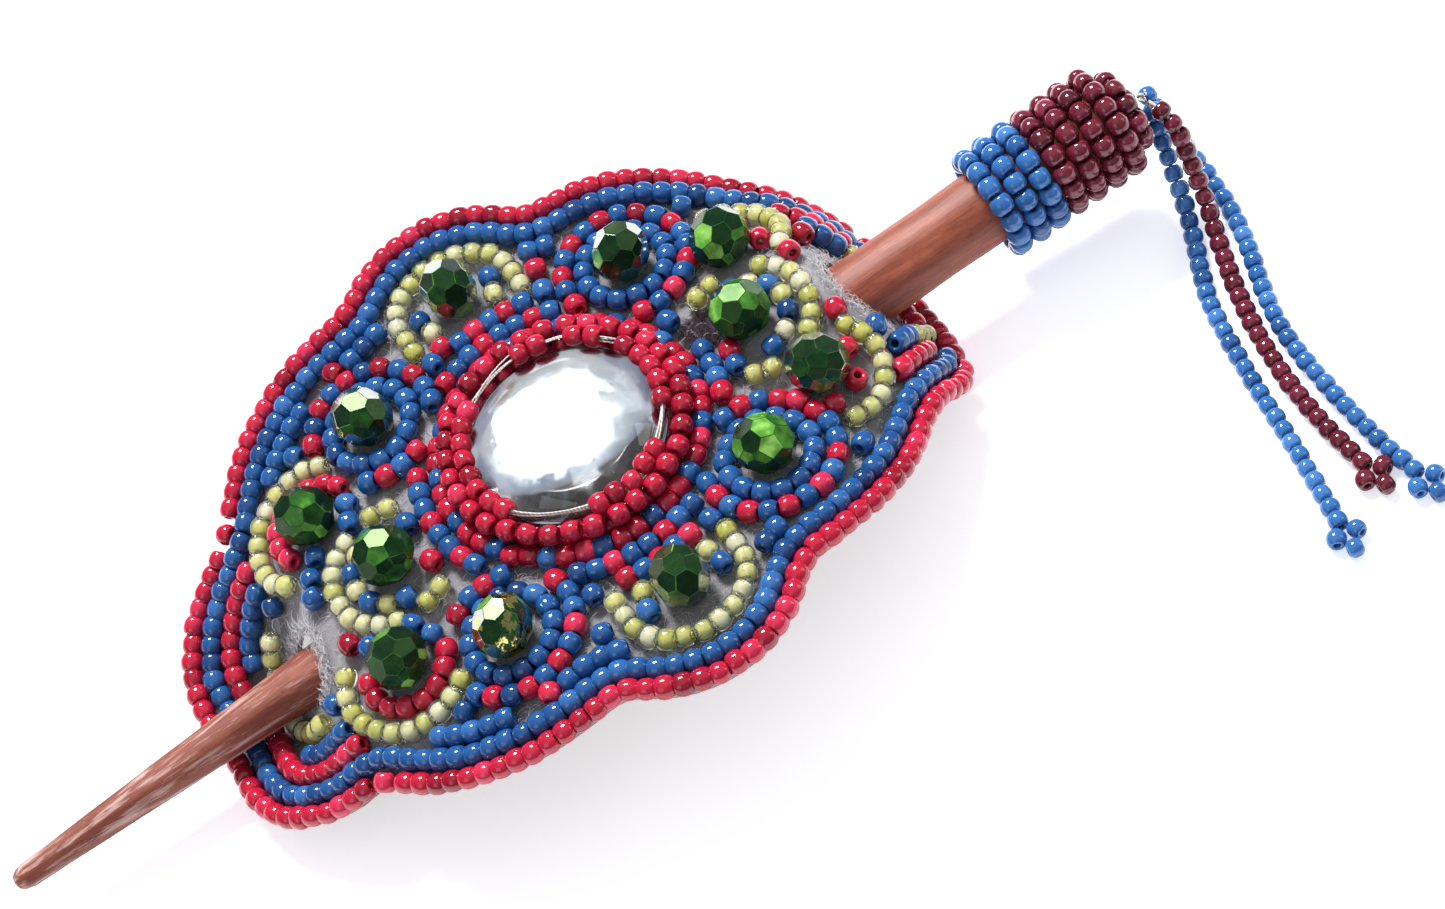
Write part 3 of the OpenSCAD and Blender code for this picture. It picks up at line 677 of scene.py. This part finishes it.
def leather_material():
    m = Mat("leather")
    v = m.coords()
    cell = m.node("TexVoronoi", feature="DISTANCE_TO_EDGE", Scale=1400.0)
    m.link(v, cell.inputs["Vector"])
    grain = m.math("MINIMUM", m.math("MULTIPLY", cell.outputs["Distance"], 6.0), 1.0)
    big = m.noise(v, 90, 4)
    colour = m.ramp(big, [(0.3, (0.10, 0.045, 0.02)), (0.6, (0.19, 0.09, 0.045)),
                          (0.8, (0.26, 0.14, 0.08))])
    colour = m.mix(m.math("SUBTRACT", 1.0, grain), colour, (0.05, 0.022, 0.012))
    m.link(colour, m.bsdf.inputs["Base Color"])
    m.set(Roughness=0.62)
    m.bump(grain, 0.35, 0.00012)
    return m.m


def card_material():
    m = Mat("card")
    v = m.coords()
    m.link(m.ramp(m.noise(v, 700, 5), [(0.3, (0.36, 0.33, 0.28)), (0.7, (0.50, 0.47, 0.41))]),
           m.bsdf.inputs["Base Color"])
    m.set(Roughness=0.9)
    return m.m


felt = wear(sheet_mesh("felt_sheet", 0.0, 0.68, margin=0.1, holes=FELT_HOLES), felt_material())
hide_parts("felt_foundation")
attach(felt, "panel")
pale_fuzz = wear(fuzz("felt_fuzz", 5600, 21), fibre_material("felt_fibre", (0.58, 0.57, 0.60)))
dark_fuzz = wear(fuzz("dark_fuzz", 420, 22, spot=True), fibre_material("dark_fibre", (0.05, 0.015, 0.03)))
for piece in (pale_fuzz, dark_fuzz):
    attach(piece, "panel")
leather = wear(sheet_mesh("leather_sheet", 1.1, 1.7, margin=-0.8), leather_material())
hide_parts("leather_backing")
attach(leather, "panel")
card = wear(sheet_mesh("card_sheet", 0.7, 1.08, margin=-0.7, hole_margin=1.0), card_material())
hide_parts("card_stiffener")
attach(card, "panel")


# ------------------------------------------------------------------ mirror

MIRROR_Z = float(felt_z(0.0, 0.0)) + 0.05


def lathe(name, profile, around=96, z0=0.0):
    """Turns a profile of (radius, height) in mm about the mirror's axis. Radius 0 ends close it."""
    bm = bmesh.new()
    rings = []
    for r, z in profile:
        if r < 1e-6:
            rings.append([bm.verts.new((SHIFT * MM, 0, (z0 + z) * MM))])
        else:
            rings.append([bm.verts.new(((SHIFT + r * math.cos(2 * math.pi * i / around)) * MM,
                                        r * math.sin(2 * math.pi * i / around) * MM, (z0 + z) * MM))
                          for i in range(around)])
    for a, b in zip(rings, rings[1:]):
        for i in range(around):
            j = (i + 1) % around
            if len(a) == 1:
                bm.faces.new((a[0], b[j], b[i]))
            elif len(b) == 1:
                bm.faces.new((a[i], a[j], b[0]))
            else:
                bm.faces.new((a[i], a[j], b[j], b[i]))
    bmesh.ops.recalc_face_normals(bm, faces=bm.faces)
    me = bpy.data.meshes.new(name)
    bm.to_mesh(me)
    bm.free()
    me.shade_smooth()
    return add(bpy.data.objects.new(name, me))


def dome_profile(r=10.2, height=6.4, edge=2.2, inset=0.25):
    big = (r * r + (height - edge) ** 2) / (2 * (height - edge))
    prof = [(0, 0), (r - inset, 0), (r - 0.05, 0.12), (r, 0.4), (r, edge - 0.35)]
    top = math.asin((r - 0.12) / big)
    for k in range(26):
        t = top * (1 - k / 26)
        prof.append((big * math.sin(t), height - big + big * math.cos(t)))
    prof.append((0, height))
    return prof


glass = lathe("mirror_glass", dome_profile(), z0=MIRROR_Z + 0.22)
m = Mat("clear_glass")
m.set(Base_Color=(0.93, 0.96, 0.97, 1), Roughness=0.015, IOR=1.5, Transmission_Weight=1.0)
scratch = m.noise(m.coords((1, 1, 1)), 260, 4)
m.link(m.math("MULTIPLY", m.math("POWER", scratch, 4.0), 0.25), m.bsdf.inputs["Roughness"])
wear(glass, m.m)
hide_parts("glass_dome")
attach(glass, "panel")

foil = lathe("mirror_back", [(0, 0.0), (10.1, 0.0), (10.15, 0.06), (10.1, 0.16), (0, 0.18)], z0=MIRROR_Z)
m = Mat("silvering")
v = m.coords()
spots = m.noise(v, 420, 5, 0.7)
m.link(m.ramp(spots, [(0.35, (0.90, 0.92, 0.95)), (0.62, (0.86, 0.88, 0.92)),
                      (0.75, (0.55, 0.56, 0.60))]),
       m.bsdf.inputs["Base Color"])
m.link(m.ramp(spots, [(0.4, (0.05, 0.05, 0.05)), (0.75, (0.3, 0.3, 0.3))]), m.bsdf.inputs["Roughness"])
m.set(Metallic=1.0)
wear(foil, m.m)
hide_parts("mirror_foil")
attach(foil, "panel")


def tubes(name, lines, radius, around=5):
    """Thin round threads through lists of points, as one mesh. Points are in mm."""
    verts, quads = [], []
    for line in lines:
        line = [Vector(p) for p in line]
        first = len(verts)
        for i, p in enumerate(line):
            d = (line[min(i + 1, len(line) - 1)] - line[max(i - 1, 0)]).normalized()
            a = d.cross(Vector((0.1, 0.2, 1))).normalized()
            b = d.cross(a)
            for k in range(around):
                w = 2 * math.pi * k / around
                verts.append((p + radius * (math.cos(w) * a + math.sin(w) * b)) * MM)
        for i in range(len(line) - 1):
            for k in range(around):
                k2 = (k + 1) % around
                c = first + i * around
                quads.append((c + k, c + k2, c + around + k2, c + around + k))
    return quad_mesh(name, np.array([tuple(v) for v in verts]), np.array(quads))


# the top row of the bezel: radius, and height over the felt at the middle
BEZEL_RIM_R, BEZEL_RIM_H = 10.45, 3.7


def rim_threads():
    """Bare threads of the bezel where its top row has no beads."""
    rng = np.random.default_rng(31)
    base = float(felt_z(0.0, 0.0))
    out = []
    gaps = ((28, 46, 3), (58, 72, 2), (88, 125, 3), (208, 262, 5), (304, 344, 4),
            (172, 184, 2), (0, 11, 2))
    for a0, a1, count in gaps:
        for _ in range(count):
            b0, b1 = math.radians(a0 + rng.uniform(-3, 3)), math.radians(a1 + rng.uniform(-3, 3))
            r0, r1 = (BEZEL_RIM_R + rng.uniform(-0.4, 0.4) for _ in range(2))
            z0, z1 = (base + BEZEL_RIM_H + rng.uniform(-0.4, 0.4) for _ in range(2))
            line = []
            for k in range(7):
                u = k / 6
                b = b0 + (b1 - b0) * u
                r = (r0 + (r1 - r0) * u) * (1 - 0.018 * math.sin(math.pi * u) * (a1 - a0) / 40)
                z = z0 + (z1 - z0) * u + 0.12 * math.sin(math.pi * u)
                line.append((SHIFT + r * math.cos(b), r * math.sin(b), z))
            out.append(line)
    return tubes("bezel_threads", out, 0.085)


def backing_stitches():
    """Running stitches on the leather, just inside its edge, seen from below."""
    a = np.linspace(0, 2 * np.pi, 1441)
    edge = outline_r(a) - 2.2
    x, y = edge * np.cos(a), edge * np.sin(a)
    under = np.stack([x, y, felt_z(x, y)], -1) - (PANEL_T + 0.02) * felt_normal(x, y)
    under[:, 2] = np.maximum(under[:, 2], 0.1)
    run = np.concatenate([[0], np.cumsum(np.linalg.norm(np.diff(under, axis=0), axis=1))])
    out = []
    for s in np.arange(0.4, run[-1] - 2.4, 3.4):
        at = np.linspace(s, s + 2.1, 5)
        line = np.stack([np.interp(at, run, under[:, k]) for k in range(3)], axis=1)
        out.append([(p[0] + SHIFT, p[1], p[2]) for p in line])
    return tubes("backing_stitches", out, 0.13)


stitches = wear(backing_stitches(), THREAD)
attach(stitches, "panel")
bezel_threads = wear(rim_threads(), THREAD)
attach(bezel_threads, "panel")


# ------------------------------------------------------------------ stones

def facet_stone(centre, axis, turn, radius, rng):
    """A fire-polished stone cut by planes, flat at the ends, set with its hole's direction along the axis
    (no hole is cut): a bmesh in place.
    """
    bm = bmesh.new()
    bmesh.ops.create_cube(bm, size=radius * 4)
    planes = []
    bands = ((0, 8, 0.955), (36, 8, 0.95), (-36, 8, 0.95), (64, 6, 0.925), (-64, 6, 0.925))
    for lat, count, dist in bands:
        for i in range(count):
            a = 2 * math.pi * (i + (0.5 if lat % 2 == 0 and lat else 0)) / count + rng.uniform(-0.05, 0.05)
            la = math.radians(lat + rng.uniform(-2.5, 2.5))
            planes.append((Vector((math.cos(la) * math.cos(a), math.cos(la) * math.sin(a), math.sin(la))),
                           dist * (1 + rng.uniform(-0.012, 0.012))))
    planes += [(Vector((0, 0, 1)), 0.86), (Vector((0, 0, -1)), 0.86)]
    for n, d in planes:
        geom = bm.verts[:] + bm.edges[:] + bm.faces[:]
        cut = bmesh.ops.bisect_plane(bm, geom=geom, plane_co=n * d * radius, plane_no=n, clear_outer=True,
                                     dist=1e-7)
        edges = [e for e in cut["geom_cut"] if isinstance(e, bmesh.types.BMEdge)]
        if len(edges) > 2:
            bmesh.ops.contextual_create(bm, geom=edges)
    bmesh.ops.bevel(bm, geom=bm.edges[:], offset=0.045 * MM, segments=1, affect="EDGES")
    z = axis.normalized()
    x = z.orthogonal().normalized()
    rot = Matrix((x, z.cross(x), z)).transposed().to_4x4() @ Matrix.Rotation(turn, 4, "Z")
    bm.transform(Matrix.Translation(centre) @ rot)
    bmesh.ops.recalc_face_normals(bm, faces=bm.faces)
    return bm


def stone_material(name, gilt=False):
    """Bottle-green glass with painted glints: a per-face attribute paints some facets a lighter, up to
    bright, green, standing in for reflections and light thrown back through the stone.
    """
    m = Mat(name)
    v = m.coords()
    cloud = m.noise(v, 700, 3)
    # painted glints: the per-face value lifts the green towards bright green
    t = m.node("Attribute", attribute_name="facet").outputs["Fac"]
    t = m.math("ADD", t, m.math("MULTIPLY", m.math("SUBTRACT", cloud, 0.5), 0.7))
    colour = m.ramp(t, [(0.0, (0.006, 0.022, 0.010)), (0.35, (0.014, 0.052, 0.016)),
                        (0.62, (0.035, 0.14, 0.025)), (0.82, (0.12, 0.38, 0.05)), (1.0, (0.42, 0.85, 0.18))])
    m.link(colour, m.bsdf.inputs["Base Color"])
    m.set(Roughness=0.10, IOR=1.28, Transmission_Weight=0.3,
          Specular_Tint=(0.62, 1.0, 0.40, 1))
    if gilt:
        spot = m.noise(m.coords(), 420, 4, 0.65)
        mask = m.ramp(spot, [(0.53, (0, 0, 0)), (0.57, (1, 1, 1))])
        m.link(m.mix(mask, colour, (0.62, 0.50, 0.16)), m.bsdf.inputs["Base Color"])
        m.link(mask, m.bsdf.inputs["Metallic"])
    return m.m


STONE = stone_material("green_stone")
GILT = stone_material("gilt_stone", gilt=True)
stone_rng = np.random.default_rng(5)
for node in ("side_stones", "top_stones", "corner_stones", "shoulder_stones"):
    centres, axes = solids_of(node)
    verts, faces, painted_glint_values, gilt = [], [], [], []
    for c, ax in zip(centres, axes):
        bm = facet_stone(Vector(c), Vector(ax), stone_rng.uniform(0, 0.8), 3.1 * MM, stone_rng)
        first = len(verts)
        verts += [tuple(v.co) for v in bm.verts]
        bm.verts.index_update()
        for f in bm.faces:
            faces.append(tuple(first + v.index for v in f.verts))
            # painted glints: facets turned to the near side and up, random facets and the narrow edge bevels
            # get a lighter green, standing in for reflections
            painted_glint_by_side = max(0, -f.normal.y) * (0.4 + 0.6 * max(0, f.normal.z))
            painted_glint_level = 0.80 * stone_rng.uniform(0, 1) ** 2.4 + 0.42 * painted_glint_by_side
            painted_glint_values.append(0.58 if f.calc_area() < 0.1e-6 else painted_glint_level)
            gilt.append(node == "corner_stones" and c[0] < 0 and c[1] < 0)
        bm.free()
    o = mesh_object("facets_" + node, verts, faces, smooth=False)
    attr = o.data.attributes.new("facet", "FLOAT", "FACE")
    attr.data.foreach_set("value", np.array(painted_glint_values, np.float32))
    o.data.materials.append(STONE)
    o.data.materials.append(GILT)
    o.data.polygons.foreach_set("material_index", np.array(gilt, np.int32))
    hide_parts(node)
    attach(o, "panel")


# ------------------------------------------------------------------ stick

def stick_radius(x):
    pts = [(-70, 0.0), (-69.85, 0.72), (-69.3, 1.12), (-68.4, 1.35), (-31, 2.84), (20, 4.0), (63.1, 4.0),
           (63.5, 3.8), (63.6, 3.5)]
    return np.interp(x, [p[0] for p in pts], [p[1] for p in pts])


def make_stick():
    xs = np.concatenate([[-69.98, -69.9, -69.75, -69.5, -69.2, -68.9], np.arange(-68.4, 63.2, 1.1),
                         [63.2, 63.4, 63.55, 63.6]])
    around = 72
    t = np.linspace(0, 2 * np.pi, around, endpoint=False)
    rng = np.random.default_rng(3)
    verts = []
    ph = rng.uniform(0, 6.28, 6)
    for x in xs:
        r = float(stick_radius(x))
        # whittled by hand: low flats along the taper and a slight waviness
        flats = 0.018 * np.cos(9 * t + ph[0] + 0.02 * x) + 0.012 * np.cos(5 * t + ph[1] - 0.03 * x)
        wav = 0.012 * math.sin(0.31 * x + ph[2]) + 0.01 * math.sin(0.77 * x + ph[3])
        rr = r * (1 - 0.02 + (flats * (1.0 if x < 0 else 0.35)) + wav * 0.6)
        verts.append(np.stack([np.full(around, x), rr * np.cos(t), rr * np.sin(t)], -1))
    co = np.array(verts).reshape(-1, 3)
    c, s = math.cos(TILT), math.sin(TILT)
    row = np.stack([c * co[:, 0] - s * co[:, 2] + SHIFT, co[:, 1],
                    s * co[:, 0] + c * co[:, 2] + STICK_HEIGHT], -1)
    n = len(xs)
    quads = [(i * around + k, i * around + (k + 1) % around, (i + 1) * around + (k + 1) % around,
              (i + 1) * around + k) for i in range(n - 1) for k in range(around)]
    obj = quad_mesh("stick_turned", row * MM, np.array(quads))
    bm = bmesh.new()
    bm.from_mesh(obj.data)
    bm.verts.ensure_lookup_table()
    bm.faces.new([bm.verts[k] for k in reversed(range(around))])
    bm.faces.new([bm.verts[(n - 1) * around + k] for k in range(around)])
    bmesh.ops.recalc_face_normals(bm, faces=bm.faces)
    bm.to_mesh(obj.data)
    bm.free()
    obj.data.shade_smooth()
    return obj


def wood_material():
    m = Mat("varnished_wood")
    v = m.coords((0.12, 1, 1))
    grain = m.noise(v, 900, 6, 0.65)
    fine = m.noise(m.coords((0.02, 1, 1)), 3800, 3, 0.6)
    w = m.node("TexWave", wave_type="BANDS", bands_direction="Y", Scale=160.0, Distortion=9.0,
               Detail=3.0)
    w.inputs["Detail Scale"].default_value = 1.5
    m.link(m.coords((0.10, 1, 1)), w.inputs["Vector"])
    colour = m.ramp(grain, [(0.28, (0.16, 0.034, 0.017)), (0.5, (0.26, 0.058, 0.028)),
                            (0.72, (0.36, 0.098, 0.052))])
    colour = m.mix(m.math("MULTIPLY", w.outputs["Fac"], 0.14), colour, (0.10, 0.022, 0.010))
    mottle = m.ramp(m.noise(m.coords((0.5, 1, 1)), 1500, 4, 0.7), [(0.45, (0, 0, 0)), (0.68, (1, 1, 1))])
    colour = m.mix(m.math("MULTIPLY", mottle, 0.45), colour, (0.13, 0.030, 0.020))
    pores = m.ramp(fine, [(0.56, (0, 0, 0)), (0.70, (1, 1, 1))])
    colour = m.mix(m.math("MULTIPLY", pores, 0.5), colour, (0.05, 0.014, 0.008))
    # the taper is darker, and its varnish is worn pale in long scratches, which also stand in as a painted
    # highlight along the taper
    sep = m.node("SeparateXYZ")
    m.link(m.coords(), sep.inputs[0])
    taper = m.ramp(m.math("MULTIPLY", m.math("ADD", sep.outputs["X"], 0.07), 20.0),
                   [(0.0, (1, 1, 1)), (0.62, (0.75, 0.75, 0.75)), (0.95, (0, 0, 0))])
    colour = m.mix(m.math("MULTIPLY", taper, 0.45), colour, (0.11, 0.022, 0.014))
    streak = m.noise(m.coords((0.05, 1, 1)), 1300, 5, 0.7)
    wear_and_painted_highlight = m.ramp(streak, [(0.50, (0, 0, 0)), (0.62, (1, 1, 1))])
    # pale scratches: partly worn varnish, partly painted highlight
    mask = m.math("MULTIPLY", m.math("MULTIPLY", taper, wear_and_painted_highlight), 0.75)
    colour = m.mix(mask, colour, (0.60, 0.42, 0.38))
    m.link(colour, m.bsdf.inputs["Base Color"])
    m.link(m.math("ADD", m.math("MULTIPLY", mask, 0.2), 0.56), m.bsdf.inputs["Roughness"])
    m.set(Coat_Weight=0.10, Coat_Roughness=0.35, IOR=1.42)
    m.bump(m.math("ADD", grain, m.math("MULTIPLY", fine, 0.5)), 0.25, 0.0002)
    return m.m


stick = wear(make_stick(), wood_material())
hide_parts("stick")
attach(stick, "stick")


# ------------------------------------------------------------------ floor and light

def room_light(tree, bg):
    """A room: pale floor and ceiling, and darker walls with brown and blue-grey patches."""
    new, link = tree.nodes.new, tree.links.new
    way = new("ShaderNodeTexCoord").outputs["Generated"]
    sep = new("ShaderNodeSeparateXYZ")
    link(way, sep.inputs[0])
    height = new("ShaderNodeValToRGB")
    for i, (pos, col) in enumerate(((0.42, (0.9, 0.9, 0.92)), (0.55, (0.30, 0.31, 0.36)),
                                    (0.82, (0.48, 0.53, 0.62)), (0.95, (1.0, 1.0, 1.0)))):
        e = height.color_ramp.elements[i] if i < 2 else height.color_ramp.elements.new(pos)
        e.position, e.color = pos, (*col, 1)
    half = new("ShaderNodeMath")
    half.operation = "MULTIPLY_ADD"
    half.inputs[1].default_value, half.inputs[2].default_value = 0.5, 0.5
    link(sep.outputs["Z"], half.inputs[0])
    link(half.outputs[0], height.inputs["Fac"])
    cells = new("ShaderNodeTexVoronoi")
    cells.inputs["Scale"].default_value = 3.2
    link(way, cells.inputs["Vector"])
    patch = new("ShaderNodeValToRGB")
    patch.color_ramp.interpolation = "CONSTANT"
    for i, (pos, col) in enumerate(((0.0, (0.42, 0.25, 0.14)), (0.38, (1, 1, 1)), (0.62, (0.45, 0.52, 0.68)),
                                    (0.8, (1.3, 1.3, 1.3)))):
        e = patch.color_ramp.elements[i] if i < 2 else patch.color_ramp.elements.new(pos)
        e.position, e.color = pos, (*col, 1)
    link(cells.outputs["Color"], patch.inputs["Fac"])
    both = new("ShaderNodeMix")
    both.data_type, both.blend_type = "RGBA", "MULTIPLY"
    both.inputs["Factor"].default_value = 0.8
    link(height.outputs["Color"], [s for s in both.inputs if s.type == "RGBA"][0])
    link(patch.outputs["Color"], [s for s in both.inputs if s.type == "RGBA"][1])
    link([s for s in both.outputs if s.type == "RGBA"][0], bg.inputs["Color"])


def make_stage():
    me = bpy.data.meshes.new("floor")
    s = 1.5
    me.from_pydata([(-s, -s, 0), (s, -s, 0), (s, s, 0), (-s, s, 0)], [], [(0, 1, 2, 3)])
    floor = add(bpy.data.objects.new("floor", me))
    floor.location.z = -0.00002
    m = Mat("pale_floor")
    m.set(Base_Color=(0.95, 0.95, 0.96, 1), Roughness=0.9, Emission_Color=(0.95, 0.97, 1.0, 1),
          Emission_Strength=0.55)
    wear(floor, m.m)

    world = bpy.data.worlds.new("soft_room")
    scene.world = world
    world.use_nodes = True
    bg = world.node_tree.nodes["Background"]
    bg.inputs["Strength"].default_value = 0.75
    room_light(world.node_tree, bg)

    def area(name, toward, distance, size_x, size_y, power, colour):
        data = bpy.data.lights.new(name, "AREA")
        data.shape = "RECTANGLE"
        data.size, data.size_y = size_x, size_y
        data.energy = power
        data.color = colour
        lamp = add(bpy.data.objects.new(name, data))
        d = Vector(toward).normalized()
        lamp.location = d * distance + Vector((0, 0, 0.01))
        lamp.rotation_euler = d.to_track_quat("Z", "Y").to_euler()

    area("window", (0.10, 0.55, 0.83), 0.9, 0.30, 0.24, 15.0, (1.0, 0.99, 0.97))
    area("fill", (-0.75, -0.55, 0.6), 1.1, 0.6, 0.6, 1.6, (0.92, 0.96, 1.0))
    area("side", (0.9, -0.2, 0.45), 1.1, 0.35, 0.6, 1.6, (1.0, 0.97, 0.93))


make_stage()
